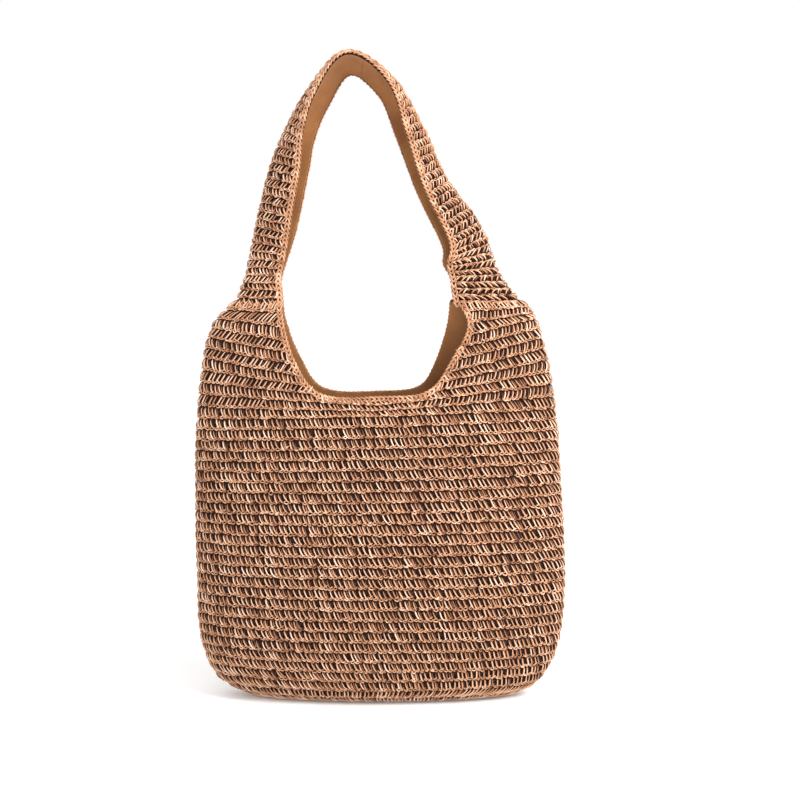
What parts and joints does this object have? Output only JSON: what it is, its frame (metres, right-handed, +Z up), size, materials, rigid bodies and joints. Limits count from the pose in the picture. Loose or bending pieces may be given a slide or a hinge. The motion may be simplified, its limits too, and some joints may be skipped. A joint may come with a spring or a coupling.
{
  "type": "crocheted hobo bag",
  "caption": "Soft shoulder bag crocheted from twisted paper straw, with a scooped mouth, a wide folded strap, cloth lining, magnetic snap and zipped inner pocket.",
  "frame": {"origin": "middle of the flat base, on the floor", "axes": "+Z up along the bag's height, -Y to the front, +X to the right as seen from the front"},
  "size_m": [0.374, 0.11, 0.6459],
  "materials": {
    "straw_yarn": "crocheted twisted paper straw, matt with a faint sheen",
    "straw_edging": "slip-stitched twisted paper straw",
    "lining_cloth": "plain woven cloth, matt",
    "zip_tape": "woven zip tape",
    "zip_metal": "satin",
    "snap_metal": "polished"
  },
  "bodies": {
    "bag": {"crochet_body": "straw_yarn", "crochet_base": "straw_yarn", "mouth_edging_front": "straw_edging", "mouth_edging_back": "straw_edging", "lining_front_panel": "lining_cloth", "lining_back_panel": "lining_cloth", "lining_base_panel": "lining_cloth", "snap_patch_front": "lining_cloth", "snap_patch_back": "lining_cloth", "snap_stud": "snap_metal", "snap_socket": "snap_metal", "pocket_bag": "lining_cloth", "pocket_header": "lining_cloth", "zip_tape_upper": "zip_tape", "zip_tape_lower": "zip_tape", "zip_teeth_upper": "zip_metal", "zip_teeth_lower": "zip_metal", "zip_end_stops": "zip_metal", "shoulder_seam_left": "straw_yarn", "shoulder_seam_right": "straw_yarn"},
    "strap": {"strap_crochet": "straw_yarn", "strap_edging_front": "straw_edging", "strap_edging_back": "straw_edging", "strap_lining": "lining_cloth", "strap_lashing_left": "straw_yarn", "strap_lashing_right": "straw_yarn"},
    "zip_slider": {"slider_body": "zip_metal"},
    "zip_pull": {"slider_pull": "zip_metal"}
  },
  "joints": [
    {"name": "strap_fold", "type": "hinge", "parent": "bag", "child": "strap", "pos_m": [0, 0, 0.412], "axis": [1, 0, 0], "range_deg": [-100, 100]},
    {"name": "zip_slide", "type": "slide", "parent": "bag", "child": "zip_slider", "axis": [1, 0, 0], "range_m": [0, 0.112]},
    {"name": "pull_swing", "type": "hinge", "parent": "zip_slider", "child": "zip_pull", "pos_m": [-0.056, 0.0209, 0.241], "axis": [0, 0, 1], "range_deg": [-180, 0]}
  ]
}
